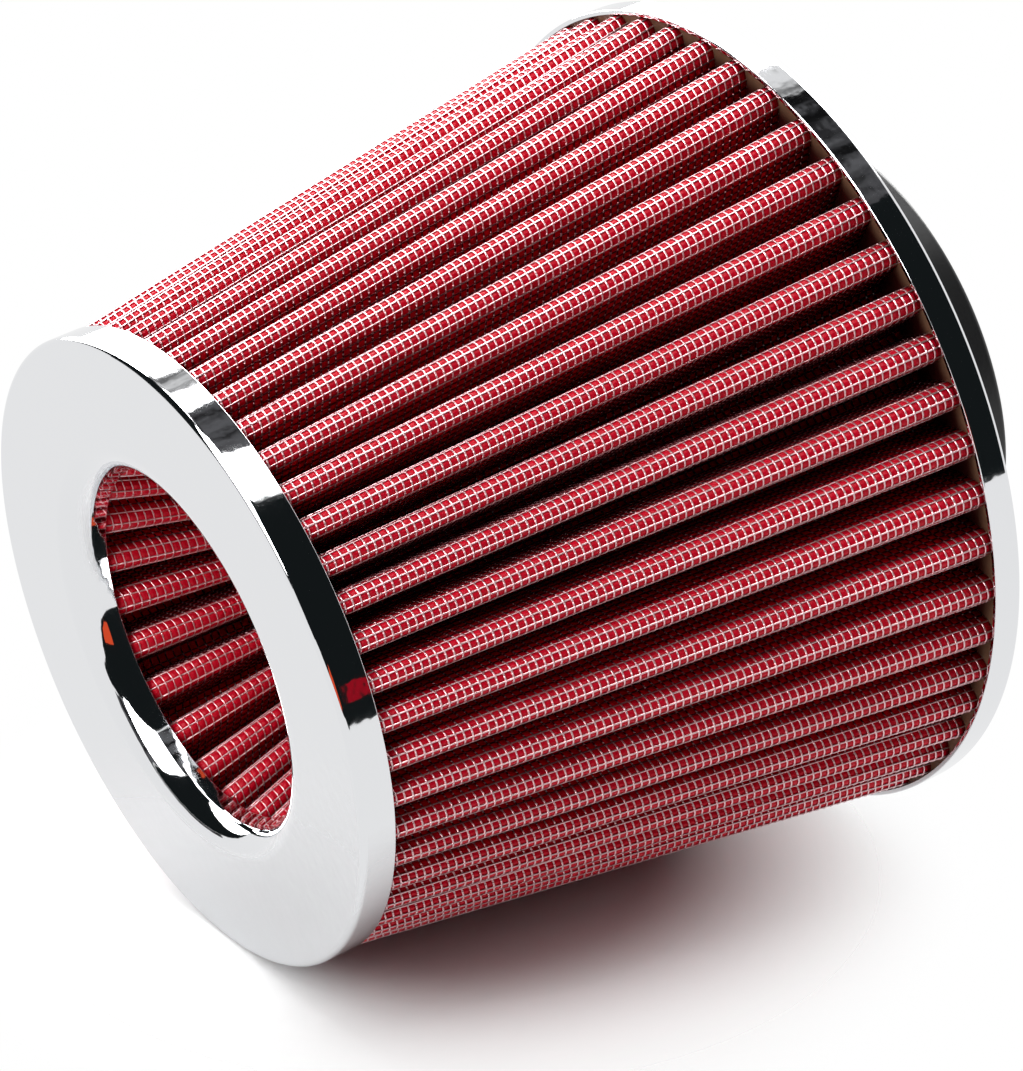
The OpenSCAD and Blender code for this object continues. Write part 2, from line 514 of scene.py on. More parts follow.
@dataclass(frozen=True)
class StudioCard(Finish):
    """A card that the camera can't see: black felt, coloured cloth, or a softbox that glows.

    Its folds, if it has any, lighten and darken it between two shares of its strength.
    """

    name: str = "card"
    colour: str = "000000"
    strength: float = 1.0
    glare: float = 1.0
    fold_mm: float = 400.0
    fold_shares: Pair = (1.0, 1.0)
    fold_edges: Pair = (0.4, 0.6)

    def surface(self, board: NodeBoard) -> bpy.types.Node:
        """A glow of the card's colour, with its own strength in gloss, and its folds.

        Args:
            board: The material's board.

        Returns:
            The shader.
        """
        mirrored = board.add("LightPath").outputs["Is Glossy Ray"]
        level = board.add("MapRange", value=mirrored, s3=self.strength, s4=self.glare)
        place = board.add("TexCoord").outputs["Object"]
        folds = board.add("TexNoise", vector=place, scale=1 / (self.fold_mm * MM), detail=3.0)
        (low, high), (least, most) = self.fold_edges, self.fold_shares
        share = board.add("MapRange", SMOOTH, value=folds, s1=low, s2=high, s3=least, s4=most)
        strength = board.add("Math", {"operation": "MULTIPLY"}, s0=level, s1=share)
        return board.add("Emission", color=linear(self.colour), strength=strength)


class Workbench:
    """Operators on one mesh at a time, as at a modelling desk."""

    NEAR = 0.01 * MM

    @staticmethod
    def start() -> None:
        """Leaves nothing selected, so that an operator acts on new pieces only."""
        bpy.ops.object.select_all(action="DESELECT")

    @staticmethod
    def pick_ring(piece: bpy.types.Object, radius: float, z: float) -> int:
        """Selects the ring of edges at a radius and a height, in millimetres.

        Args:
            piece: The object in edit mode.
            radius: The ring's radius.
            z: The ring's height.

        Returns:
            The number of edges selected.
        """
        bpy.ops.mesh.select_mode(type="EDGE")
        bpy.ops.mesh.select_all(action="DESELECT")
        mesh = bmesh.from_edit_mesh(piece.data)

        def is_there(vertex: bmesh.types.BMVert) -> bool:
            """Whether a vertex lies on the ring."""
            off_radius = math.hypot(vertex.co.x, vertex.co.y) - radius * MM
            return max(abs(off_radius), abs(vertex.co.z - z * MM)) < Workbench.NEAR

        found = [edge for edge in mesh.edges if all(map(is_there, edge.verts))]
        for edge in found:
            edge.select_set(True)
        bmesh.update_edit_mesh(piece.data)
        return len(found)

    @staticmethod
    def modify(piece: bpy.types.Object, kind: str, **settings: object) -> None:
        """Adds a modifier to the piece and applies it.

        Args:
            piece: The active object, in object mode.
            kind: The modifier's type.
            **settings: Its properties, by name.
        """
        modifier = piece.modifiers.new(kind.title(), kind)
        for name, value in settings.items():
            setattr(modifier, name, value)
        bpy.ops.object.modifier_apply(modifier=modifier.name)


@dataclass
class TurnedPart:
    """A part of revolution: a ring that is extruded along a section, then bent and rounded.

    The section is a list of (radius, z) corners, in millimetres, and each rounding is the
    radius and z of one of them with its bend. The late ones follow the sheet's thickening.
    """

    MERGE = 0.001 * MM
    SMOOTH_ANGLE = math.radians(40)

    name: str
    nodes: tuple[str, ...]
    slot: str
    finish: Finish
    section: list[Pair]
    rounds: list[Rounding] = field(default_factory=list)
    sheet: float = 0.0
    late_rounds: list[Rounding] = field(default_factory=list)
    sides: int = 256

    def build(self) -> bpy.types.Object:
        """Models the part, dresses it and puts it in its CAD node's place.

        Returns:
            The finished piece.
        """
        piece = self.draw_section()
        self.round_corners(piece, self.rounds)
        bpy.ops.mesh.select_all(action="SELECT")
        bpy.ops.mesh.remove_doubles(threshold=self.MERGE)
        bpy.ops.mesh.normals_make_consistent(inside=False)
        bpy.ops.object.mode_set(mode="OBJECT")
        if self.sheet:
            Workbench.modify(
                piece, "SOLIDIFY", thickness=self.sheet * MM, offset=-1.0, use_even_offset=True
            )
            bpy.ops.object.mode_set(mode="EDIT")
            self.round_corners(piece, self.late_rounds)
            bpy.ops.object.mode_set(mode="OBJECT")
        self.finish_surface(piece)
        piece.data.materials.append(self.finish.material())
        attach(piece, BODY)
        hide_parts(*self.nodes)
        return piece

    def draw_section(self) -> bpy.types.Object:
        """Adds a circle at the section's first corner and extrudes it along the others.

        Returns:
            The new piece, in edit mode.
        """
        Workbench.start()
        (radius, z), *others = self.section
        bpy.ops.mesh.primitive_circle_add(
            vertices=self.sides, radius=radius * MM, location=(0, 0, z * MM)
        )
        piece = bpy.context.object
        piece.name = piece.data.name = self.name
        bpy.ops.object.transform_apply(location=True, rotation=True, scale=True)
        bpy.ops.object.mode_set(mode="EDIT")
        bpy.ops.mesh.select_all(action="SELECT")
        for next_radius, next_z in others:
            rise = (0, 0, (next_z - z) * MM)
            bpy.ops.mesh.extrude_edges_move(TRANSFORM_OT_translate={"value": rise})
            grow = next_radius / radius
            bpy.ops.transform.resize(value=(grow, grow, 1), center_override=(0, 0, next_z * MM))
            radius, z = next_radius, next_z
        return piece

    def round_corners(self, piece: bpy.types.Object, rounds: list[Rounding]) -> None:
        """Bevels the rings of edges at the listed corners.

        Args:
            piece: The piece, in edit mode.
            rounds: The radius, z and bend of each corner.
        """
        for radius, z, bend in rounds:
            if not Workbench.pick_ring(piece, radius, z):
                LOG.warning("%s has no ring at %.2f, %.2f", self.name, radius, z)
                continue
            bend_r, steps = bend.value
            bpy.ops.mesh.bevel(
                offset=bend_r * MM, offset_type="OFFSET", segments=steps, affect="EDGES"
            )

    def finish_surface(self, piece: bpy.types.Object) -> None:
        """Smooths the shading, and lets the large faces lead it at each bend."""
        bpy.ops.object.shade_smooth_by_angle(angle=self.SMOOTH_ANGLE)
        Workbench.modify(piece, "WEIGHTED_NORMAL", keep_sharp=True)


@dataclass
class PleatPack:
    """A gauze sheet between two wire screens, folded into pleats and rolled to a cone.

    The folds are arcs whose flanks are tangent to them, as in the CAD part. These meshes are
    worked out point by point, because no operator folds a sheet to tangent arcs with a wire
    screen that follows it, fold by fold.
    """

    FLAT_CLOTH = "flat_cloth"
    CREST = "crest"
    MIDDLE = 0.5  # the depth of the sheet's middle, as a share of its thickness
    PROBE = 0.002  # how far apart, as a share, points are compared to find a direction
    NUDGE = 1e-6  # keeps a place at a pleat's start from rounding down to the pleat before
    MOST_TRIANGLES = 180_000  # in one piece of a screen
    FLANK_STEPS = 2
    LEAST_STEPS = 3  # of a wire on an inward fold

    name: str
    node: str
    count: int
    out_r: Pair
    in_r: Pair
    turn: float
    shown: Skin
    steps: tuple[int, int]
    screens: dict[Skin, int]
    gauze_t: float = 1.0
    fold_share: float = 0.52
    sway: float = 0.4
    sway_waves: int = 5
    sway_start: Pair = (254.0, 214.0)
    cell: Pair = SCREEN_CELL
    wire_r: float = 0.185
    wire_rise: float = 0.1
    skew: float = 0.008
    rows: int = 12

    def __post_init__(self) -> None:
        """Takes the heights from the CAD node and works out the flat lengths."""
        self.z = tuple(corner.z for corner in cad_corners(self.node))
        self.shares, _ = self.measure(self.MIDDLE)
        fall = self.out_r[0] - self.out_r[1]
        self.slant = math.hypot(self.z[1] - self.z[0], fall)

    def fold_radii(self, end: End) -> Pair:
        """Radii of the folds, whose widths share the spacing.

        Args:
            end: The end of the pack.

        Returns:
            The radii of the outward and the inward folds, in millimetres.
        """
        half = math.radians(self.fold_share * 180 / self.count)
        i = end.value
        return self.out_r[i] * half / (1 + half), self.in_r[i] * half / (1 - half)

    def fold_angle(self, k: np.ndarray, end: End) -> np.ndarray:
        """Angles of folds, with their sway.

        Args:
            k: The folds' numbers; an inward fold is halfway between two.
            end: The end of the pack.

        Returns:
            The angles, in radians.
        """
        even = 360 * k / self.count
        stray = self.sway * np.sin(np.radians(self.sway_waves * even + self.sway_start[end.value]))
        return np.radians(self.turn + even + stray)

    def flank_angle(self, to: np.ndarray, angle: np.ndarray, reach: float, side: int) -> np.ndarray:
        """Angle at which a flank leaves an outward fold.

        Args:
            to: Vectors from the inward fold's centre to the outward fold's centre.
            angle: The outward folds' angles.
            reach: Sum of the two folds' radii.
            side: 1 for the flank after the fold and -1 for the one before it.

        Returns:
            The angles, in radians.
        """
        along = to[:, 0] * np.cos(angle) + to[:, 1] * np.sin(angle)
        beside = to[:, 1] * np.cos(angle) - to[:, 0] * np.sin(angle)
        open_by = np.pi - np.arccos(reach / np.hypot(along, beside))
        return angle + side * open_by + np.arctan2(beside, along)

    def folds(self, k: np.ndarray, end: End) -> dict[str, np.ndarray]:
        """Centres and angles of pleats' outward folds and of the inward folds after them.

        Args:
            k: The pleats' numbers.
            end: The end of the pack.

        Returns:
            The folds' centres, and the angles at which the flanks leave them, by name.
        """
        f_out, f_in = self.fold_radii(end)
        reach = f_out + f_in - self.gauze_t
        here, after, before, there = (self.fold_angle(k + d, end) for d in (0, 0.5, -0.5, 1))
        r_out, r_in = self.out_r[end.value] - f_out, self.in_r[end.value] + f_in
        c_out, c_next = polar(r_out, here), polar(r_out, there)
        c_in, c_before = polar(r_in, after), polar(r_in, before)
        return {
            "c_out": c_out,
            "c_in": c_in,
            "c_next": c_next,
            "first": self.flank_angle(c_out - c_before, here, reach, -1),
            "last": self.flank_angle(c_out - c_in, here, reach, 1),
            "next": self.flank_angle(c_next - c_in, there, reach, -1),
        }

    def flat_lengths(self, end: End, skin: float) -> list[float]:
        """Lengths of the outward fold, its flank, the inward fold and the next flank.

        Args:
            end: The end of the pack.
            skin: Depth in the sheet, as a share of its thickness from its outward side.

        Returns:
            The four lengths, in millimetres.
        """
        k = np.zeros(1)
        fold = self.folds(k, end)
        f_out, f_in = self.fold_radii(end)
        reach = f_out + f_in - self.gauze_t
        flank = math.sqrt(np.sum((fold["c_out"] - fold["c_in"]) ** 2) - reach**2)
        arc_out = (f_out - skin * self.gauze_t) * float((fold["last"] - fold["first"])[0])
        arc_in = (f_in - (1 - skin) * self.gauze_t) * float((fold["last"] - fold["next"])[0])
        return [arc_out, flank, abs(arc_in), flank]

    def measure(self, skin: float) -> tuple[np.ndarray, int]:
        """Measures one pleat of a skin as flat cloth.

        Args:
            skin: Depth in the sheet, as a share of its thickness.

        Returns:
            The shares of a pleat at which its folds and flanks start and end, and the number
            of the screen's cells round the whole pack.
        """
        lengths = np.mean([self.flat_lengths(end, skin) for end in End], axis=0)
        shares = np.concatenate([[0.0], np.cumsum(lengths) / lengths.sum()])
        return shares, round(self.count * lengths.sum() / self.cell[0])

    def flat_place(self, place: np.ndarray, skin: Skin) -> np.ndarray:
        """Turns places round the pack to lengths of a skin's own flat cloth.

        Args:
            place: Places round the pack, in pleats.
            skin: The side of the sheet.

        Returns:
            The lengths, in millimetres.
        """
        shares, cells = self.measure(skin.value)
        whole = np.floor(place)
        pleats = whole + np.interp(place - whole, self.shares, shares)
        return pleats * cells * self.cell[0] / self.count

    def place_of(self, flat: np.ndarray, skin: Skin) -> np.ndarray:
        """The reverse of flat_place.

        Args:
            flat: Lengths of the skin's flat cloth, in millimetres.
            skin: The side of the sheet.

        Returns:
            Places round the pack, in pleats.
        """
        shares, cells = self.measure(skin.value)
        place = flat * self.count / (cells * self.cell[0])
        whole = np.floor(place)
        return whole + np.interp(place - whole, shares, self.shares)

    def section(self, place: np.ndarray, end: End, skin: float) -> np.ndarray:
        """Points of the folded sheet at one end.

        Args:
            place: Places round the pack, in pleats; a pleat starts where its outward fold does.
            end: The end of the pack.
            skin: Depth in the sheet, as a share of its thickness from its outward side.

        Returns:
            An array of (x, y), in millimetres.
        """
        k = np.floor(place)
        share = place - k
        fold = self.folds(k, end)
        f_out, f_in = self.fold_radii(end)
        arc_out = f_out - skin * self.gauze_t
        arc_in = f_in - (1 - skin) * self.gauze_t
        part = [
            np.clip((share - a) / (b - a), 0, 1)[:, None]
            for a, b in zip(self.shares[:-1], self.shares[1:])
        ]
        turn_out = fold["first"] + (fold["last"] - fold["first"]) * part[0][:, 0]
        turn_in = fold["last"] + (fold["next"] - fold["last"]) * part[2][:, 0] + np.pi
        on_out = fold["c_out"] + polar(arc_out, turn_out)
        on_in = fold["c_in"] + polar(arc_in, turn_in)
        next_start = fold["c_next"] + polar(arc_out, fold["next"])
        down = on_out + (fold["c_in"] + polar(arc_in, fold["last"] + np.pi) - on_out) * part[1]
        up = on_in + (next_start - on_in) * part[3]
        which = (share[:, None] >= self.shares[1:4]).sum(axis=1)
        return np.choose(which[:, None], [on_out, down, on_in, up])

    def surface(self, place: np.ndarray, along: np.ndarray, skin: float) -> np.ndarray:
        """Points of the sheet between its two ends.

        Args:
            place: Places round the pack, in pleats.
            along: Shares of the way from the rear end to the front end.
            skin: Depth in the sheet, as a share of its thickness.

        Returns:
            An array of (x, y, z), in millimetres.
        """
        rear, front = (self.section(place, end, skin) for end in End)
        flat = rear + (front - rear) * along[:, None]
        return np.column_stack([flat, self.z[0] + (self.z[1] - self.z[0]) * along])

    def stations(self, counts: tuple[int, int, int, int]) -> np.ndarray:
        """Places of a mesh's points round one pleat.

        Args:
            counts: Steps on the outward fold, its flank, the inward fold and the next flank.

        Returns:
            The places, as shares of a pleat.
        """
        spans = zip(self.shares[:-1], self.shares[1:], counts)
        return np.concatenate([np.linspace(a, b, n, endpoint=False) for a, b, n in spans])

    def wire_stations(self, steps: int) -> np.ndarray:
        """Places of a cross wire's points round one pleat, for its steps on an outward fold."""
        return self.stations((steps, 1, max(self.LEAST_STEPS, steps // 2), 1))

    def gauze(self) -> bpy.types.Object:
        """The folded gauze, as one closed sheet with its flat cloth's UV map in millimetres.

        Returns:
            The new piece, undressed.
        """
        out, inward_fold = self.steps
        stations = self.stations((out, self.FLANK_STEPS, inward_fold, self.FLANK_STEPS))
        places = (np.arange(self.count)[:, None] + stations).ravel()
        n, rows = len(places), self.rows + 1
        along = np.linspace(0, 1, rows)
        grid = [
            self.surface(np.tile(places, rows), np.repeat(along, n), skin.value) for skin in Skin
        ]
        column, row = np.meshgrid(np.arange(n), np.arange(rows - 1))
        after = (column + 1) % n
        low, high = row * n, (row + 1) * n
        outward = np.stack([low + column, low + after, high + after, high + column], axis=-1)
        shift = rows * n
        inward = outward[..., ::-1] + shift
        i, j = np.arange(n), (np.arange(n) + 1) % n
        top = (rows - 1) * n
        front = np.stack([top + i, top + j, shift + top + j, shift + top + i], axis=-1)
        rear = np.stack([shift + i, shift + j, j, i], axis=-1)
        faces = np.concatenate([f.reshape(-1, 4) for f in (outward, inward, front, rear)])
        points = np.concatenate(grid)
        piece = mesh_piece(self.name + "_gauze", points, faces)
        height = np.repeat(along, n) * self.slant
        lean = self.skew * height
        across = [np.tile(self.flat_place(places, skin), rows) + lean for skin in Skin]
        flat = np.column_stack([np.concatenate(across), np.tile(height, 2)])
        self.lay_flat(piece, flat, np.tile(places, 2 * rows))
        return piece

    def lay_flat(self, piece: bpy.types.Object, flat: np.ndarray, places: np.ndarray) -> None:
        """Stores where each point lies on the flat cloth, and how near to a crest.

        The crest attribute is 1 on the folds that face the air and 0 on the others.

        Args:
            piece: The piece.
            flat: Each point's place across and along the flat cloth, in millimetres.
            places: Each point's place round the pack, in pleats.
        """
        mesh = piece.data
        corners = np.empty(len(mesh.loops), int)
        mesh.loops.foreach_get("vertex_index", corners)
        starts, totals = (np.empty(len(mesh.polygons), int) for _ in range(2))
        mesh.polygons.foreach_get("loop_start", starts)
        mesh.polygons.foreach_get("loop_total", totals)
        uv = flat[corners]
        whole = flat[:, 0].max()
        widest = np.repeat(np.maximum.reduceat(uv[:, 0], starts), totals)
        uv[widest - uv[:, 0] > whole / 2, 0] += round(whole / self.cell[0]) * self.cell[0]
        layer = mesh.uv_layers.new(name=self.FLAT_CLOTH)
        layer.data.foreach_set("uv", uv.astype(np.float32).ravel())
        share = (places + self.NUDGE) % 1
        crest = np.interp(share, self.shares, (1.0, 1.0, 0.0, 0.0, 1.0))
        if self.shown is Skin.INWARD:
            crest = 1 - crest
        crests = mesh.attributes.new(self.CREST, "FLOAT", "POINT")
        crests.data.foreach_set("value", crest.astype(np.float32))

    def screen_frame(
        self, place: np.ndarray, along: np.ndarray, skin: float
    ) -> tuple[np.ndarray, np.ndarray, np.ndarray, np.ndarray]:
        """Points of a screen and the directions of its wires.

        Args:
            place: Places round the pack, in pleats.
            along: Shares of the way from the rear end to the front end.
            skin: Depth in the sheet, as a share of its thickness.

        Returns:
            The points, in millimetres, and at each the unit vectors across the folds, along
            them and outwards.
        """
        step = self.PROBE
        points = self.surface(place, along, skin)
        across = self.surface(place + step, along, skin) - self.surface(place - step, along, skin)
        length = self.surface(place, along + step, skin) - self.surface(place, along - step, skin)
        across /= np.linalg.norm(across, axis=1)[:, None]
        length /= np.linalg.norm(length, axis=1)[:, None]
        return points, across, length, np.cross(across, length)

    def cross_wires(self, skin: Skin, steps: int, part: slice) -> tuple[np.ndarray, ...]:
        """The wires that follow the folds, one closed ring for each cell along the pleats.

        Args:
            skin: The side of the sheet.
            steps: Straight steps round a fold.
            part: Which of the rings.

        Returns:
            Points and faces, then the place on the flat cloth and the place round the pack of
            each point of the wires' middles.
        """
        places = (np.arange(self.count)[:, None] + self.wire_stations(steps)).ravel()
        heights = (np.arange(1, int(self.slant / self.cell[1])) * self.cell[1] / self.slant)[part]
        n, m = len(places), len(heights)
        frame_of = self.screen_frame(
            np.tile(places, m), np.repeat(heights, n), self.screen_depth(skin)
        )
        points, _, length, out = (a.reshape(m, n, 3) for a in frame_of)
        flat = np.column_stack(
            [np.tile(self.flat_place(places, skin), m), np.repeat(heights * self.slant, n)]
        )
        return *tubes(points, out, length, self.wire_r, closed=True), flat, np.tile(places, m)

    def length_wires(self, skin: Skin) -> tuple[np.ndarray, ...]:
        """The wires that run along the pleats, evenly spaced on the flat cloth.

        Args:
            skin: The side of the sheet.

        Returns:
            The same as cross_wires.
        """
        along = np.linspace(0.0, 1.0, self.rows + 1)
        _, wires = self.measure(skin.value)
        first = np.arange(wires)[:, None] * self.cell[0]
        across = first - self.skew * along * self.slant
        places = self.place_of(across, skin).ravel()
        frame_of = self.screen_frame(places, np.tile(along, wires), self.screen_depth(skin))
        points, side, _, out = (a.reshape(wires, len(along), 3) for a in frame_of)
        flat = np.column_stack([np.repeat(first, len(along)), np.tile(along * self.slant, wires)])
        return *tubes(points, out, side, self.wire_r, closed=False), flat, places

    def screen_depth(self, skin: Skin) -> float:
        """Depth of a screen's wires in the sheet: just proud of the gauze."""
        rise = self.wire_rise / self.gauze_t
        return skin.value + (rise if skin is Skin.INWARD else -rise)

    def build(self) -> list[bpy.types.Object]:
        """Builds and dresses the gauze and its screens.

        Returns:
            The finished pieces.
        """
        gauze = self.gauze()
        gauze.data.materials.append(OiledGauze(cell_mm=self.cell).material())
        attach(gauze, BODY)
        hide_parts(self.node)
        pieces = [gauze]
        wire = WireScreen(cell_mm=self.cell).material()
        for skin, steps in self.screens.items():
            rings = int(self.slant / self.cell[1]) - 1
            per_ring = self.count * len(self.wire_stations(steps)) * TUBE_SIDES * 2
            parts = math.ceil(rings * per_ring / self.MOST_TRIANGLES)
            cuts = np.linspace(0, rings, parts + 1).astype(int)
            made = [
                (f"cross_wires_{i + 1}", self.cross_wires(skin, steps, slice(a, b)))
                for i, (a, b) in enumerate(zip(cuts[:-1], cuts[1:]))
            ]
            made.append(("length_wires", self.length_wires(skin)))
            for label, (points, faces, flat, places) in made:
                name = f"{self.name}_{skin.name.lower()}_{label}"
                piece = mesh_piece(name, points, faces)
                self.lay_flat(
                    piece, np.repeat(flat, TUBE_SIDES, axis=0), np.repeat(places, TUBE_SIDES)
                )
                piece.data.materials.append(wire)
                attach(piece, BODY)
                pieces.append(piece)
        return pieces


def polar(radius: float, angle: np.ndarray) -> np.ndarray:
    """Points at a radius and an angle, as (x, y)."""
    return np.column_stack([radius * np.cos(angle), radius * np.sin(angle)])


def tubes(
    points: np.ndarray, up: np.ndarray, side: np.ndarray, radius: float, closed: bool
) -> tuple[np.ndarray, np.ndarray]:
    """Three-sided tubes round several lines of points.

    Args:
        points: An array of lines by points by (x, y, z).
        up: The direction of the tube's flat side, at each point.
        side: A direction square to the line and to up, at each point.
        radius: The tube's radius.
        closed: Whether each line is a ring.

    Returns:
        The tubes' points and their faces, which are quads, or triangles with a repeated corner.
    """
    lines, n, _ = points.shape
    turns = np.radians([60, 180, 300])
    corners = [points + radius * (math.cos(t) * up + math.sin(t) * side) for t in turns]
    vertices = np.stack(corners, axis=2).reshape(-1, 3)
    base = np.arange(lines)[:, None] * n
    i = np.arange(n if closed else n - 1)
    here, there = (base + i) * TUBE_SIDES, (base + (i + 1) % n) * TUBE_SIDES
    sides = [
        np.stack([here + a, here + b, there + b, there + a], axis=-1).reshape(-1, 4)
        for a, b in ((0, 1), (1, 2), (2, 0))
    ]
    faces = np.concatenate(sides)
    if not closed:
        start = (base * TUBE_SIDES + np.array([2, 1, 0])).reshape(-1, TUBE_SIDES)
        end = ((base + n - 1) * TUBE_SIDES + np.array([0, 1, 2])).reshape(-1, TUBE_SIDES)
        lids = np.concatenate([start, end])
        faces = np.concatenate([faces, np.column_stack([lids, lids[:, :1]])])
    return vertices, faces


def mesh_piece(name: str, points: np.ndarray, faces: np.ndarray) -> bpy.types.Object:
    """Makes a smooth mesh object from points in millimetres, with its faces turned outwards.

    Args:
        name: The piece's name.
        points: Its points.
        faces: Its faces, of four corners, where a triangle repeats its first corner.

    Returns:
        The new object.
    """
    mesh = bpy.data.meshes.new(name)
    is_lid = faces[:, 3] == faces[:, 0]
    order = [*faces[~is_lid].tolist(), *faces[is_lid, :3].tolist()]
    mesh.from_pydata(points * MM, [], order)
    mesh.shade_smooth()
    piece = bpy.data.objects.new(name, mesh)
    bpy.context.scene.collection.objects.link(piece)
    Workbench.start()
    bpy.context.view_layer.objects.active = piece
    piece.select_set(True)
    bpy.ops.object.mode_set(mode="EDIT")
    bpy.ops.mesh.select_all(action="SELECT")
    bpy.ops.mesh.normals_make_consistent(inside=False)
    bpy.ops.object.mode_set(mode="OBJECT")
    return piece


@dataclass
class Filter:
    """The whole filter, from a few driving sizes and the CAD nodes' places."""

    cap_sheet: float = 0.6
    throat_r: float = 33.05
    throat_lean: float = 15.0
    lip_r: float = 5.8
    lip_rise: float = 1.7
    lip_steps: int = 22
    front_resin_drop: float = 0.8
    band_sheet: float = 0.8
    bore_r: float = 38.0
    neck_r: float = 45.0
    neck_clearance: float = 0.2
    flange_t: float = 2.0
    rear_resin_w: float = 20.0
    cup_rim_t: float = 1.6
    cup_disc_t: float = 3.0
    pole_r: float = 0.01
    fold_clearance: float = 0.25
    outer_depth: float = 11.5
    pack_gap: float = 1.5
    inner_taper: float = 19.0

    def collar_r(self, z: float, inset: float = 0.0) -> float:
        """The throat's radius at a height, or that of a wall a little outside it.

        Args:
            z: The height, in millimetres.
            inset: How far the wall is outside the throat, square to it.

        Returns:
            The radius, in millimetres.
        """
        lean = math.radians(self.throat_lean)
        rise = z - cad_corners("front_cap")[0].z
        return self.throat_r + rise * math.tan(lean) + inset / math.cos(lean)

    def front_cap(self) -> TurnedPart:
        """The chromed front cap: the throat's collar, the rolled lip, the face and the skirt.

        Returns:
            The part, ready to build.
        """
        low, high = cad_corners("front_cap")
        throat_z, face, r = low.z, high.z, high.x
        pleats_z = cad_corners("inner_pleats")[1].z
        edge, crease = pleats_z - self.front_resin_drop, pleats_z + self.lip_rise
        slant = math.asin(1 - (face - crease) / self.lip_r)
        centre_r = self.collar_r(crease) + self.lip_r * math.cos(slant)
        lip = [
            (centre_r - self.lip_r * math.cos(t), face - self.lip_r * (1 - math.sin(t)))
            for t in np.linspace(slant, math.pi / 2, self.lip_steps + 1)
        ]
        return TurnedPart(
            name="front_cap_pressing",
            nodes=("front_cap",),
            slot="chrome",
            finish=ChromePlate(),
            section=[(self.throat_r, throat_z), *lip, (r, face), (r, edge)],
            rounds=[(*lip[0], Bend.PRESSED_CREASE), (r, face, Bend.PRESSED_RIM)],
            sheet=self.cap_sheet,
            late_rounds=[(r, edge, Bend.SKIRT_EDGE), (self.throat_r, throat_z, Bend.THROAT_EDGE)],
        )

    def rear_cap(self) -> TurnedPart:
        """The chromed rear cap: a narrow band and a back plate round the neck.

        Returns:
            The part, ready to build.
        """
        low, high = cad_corners("rear_cap")
        hole_r, r = self.neck_r + self.neck_clearance, high.x
        return TurnedPart(
            name="rear_cap_pressing",
            nodes=("rear_cap",),
            slot="chrome",
            finish=ChromePlate(),
            section=[(hole_r, low.z), (r, low.z), (r, high.z)],
            rounds=[(r, low.z, Bend.PRESSED_BAND)],
            sheet=self.band_sheet,
            late_rounds=[(r, high.z, Bend.BAND_EDGE)],
        )

    def neck(self) -> TurnedPart:
        """The rubber neck, a thick tube with a flange inside the rear cap.

        Returns:
            The part, ready to build.
        """
        low, high = cad_corners("neck")
        flange_r, flange_z = high.x, high.z - self.flange_t
        return TurnedPart(
            name="neck_moulding",
            nodes=("neck",),
            slot="rubber",
            finish=MouldedRubber(),
            section=[
                *((self.bore_r, low.z), (self.neck_r, low.z), (self.neck_r, flange_z)),
                *((flange_r, flange_z), (flange_r, high.z), (self.bore_r, high.z)),
                (self.bore_r, low.z),
            ],
            rounds=[
                (self.neck_r, low.z, Bend.NECK_END),
                (self.bore_r, high.z, Bend.MOULDED_LIP),
                (flange_r, high.z, Bend.MOULDED_RIM),
            ],
        )

    def rear_resin(self) -> TurnedPart:
        """The ring of resin inside the band, which covers the edge of the neck's flange.

        Returns:
            The part, ready to build.
        """
        low, high = cad_corners("rear_resin")
        outer, flange = high.x, cad_corners("neck")[1]
        inner = outer - self.rear_resin_w
        return TurnedPart(
            name="rear_resin_casting",
            nodes=("rear_resin",),
            slot="resin",
            finish=CastResin(),
            section=[
                *((flange.x, low.z), (outer, low.z), (outer, high.z), (inner, high.z)),
                *((inner, flange.z), (flange.x, flange.z), (flange.x, low.z)),
            ],
            rounds=[(inner, high.z, Bend.CAST_EDGE)],
        )

    def inner_end_cap(self) -> TurnedPart:
        """The moulded cup that closes the small end of the inner pleats.

        Its section starts and ends pole_r from the axis, because a ring can't have no radius.

        Returns:
            The part, ready to build.
        """
        low, high = cad_corners("inner_end_cap")
        outer, disc_z = high.x, low.z + self.cup_disc_t
        inner = outer - self.cup_rim_t
        return TurnedPart(
            name="inner_end_cap_moulding",
            nodes=("inner_end_cap",),
            slot="rubber",
            finish=MouldedRubber(),
            section=[
                *((self.pole_r, disc_z), (inner, disc_z), (inner, high.z)),
                *((outer, high.z), (outer, low.z), (self.pole_r, low.z)),
            ],
            rounds=[
                (outer, low.z, Bend.MOULDED_LIP),
                (outer, high.z, Bend.MOULDED_RIM),
                (inner, high.z, Bend.MOULDED_INSIDE),
            ],
        )

    def packs(self) -> list[PleatPack]:
        """The outer pleats, and the inner ones that turn inwards behind the throat.

        Returns:
            Both packs, ready to build.
        """
        rear_tip = cad_radius("rear_cap") - self.band_sheet - self.fold_clearance
        front_tip = cad_radius("front_cap") - self.cap_sheet - self.fold_clearance
        rear_root, front_root = rear_tip - self.outer_depth, front_tip - self.outer_depth
        inner_front = front_root - self.pack_gap
        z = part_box("inner_pleats")
        fall = (z[1].z - z[0].z) / MM * math.tan(math.radians(self.inner_taper))
        tip = self.collar_r(z[1].z / MM, self.cap_sheet) + self.fold_clearance
        outer = PleatPack(
            name="outer",
            node="outer_pleats",
            count=51,
            out_r=(rear_tip, front_tip),
            in_r=(rear_root, front_root),
            turn=0.0,
            shown=Skin.OUTWARD,
            steps=(12, 6),
            screens={Skin.OUTWARD: 8, Skin.INWARD: 4},
        )
        inner = PleatPack(
            name="inner",
            node="inner_pleats",
            count=25,
            out_r=(inner_front - fall, inner_front),
            in_r=(tip - fall, tip),
            turn=5.2,
            shown=Skin.INWARD,
            steps=(6, 12),
            screens={Skin.INWARD: 8, Skin.OUTWARD: 4},
        )
        return [outer, inner]

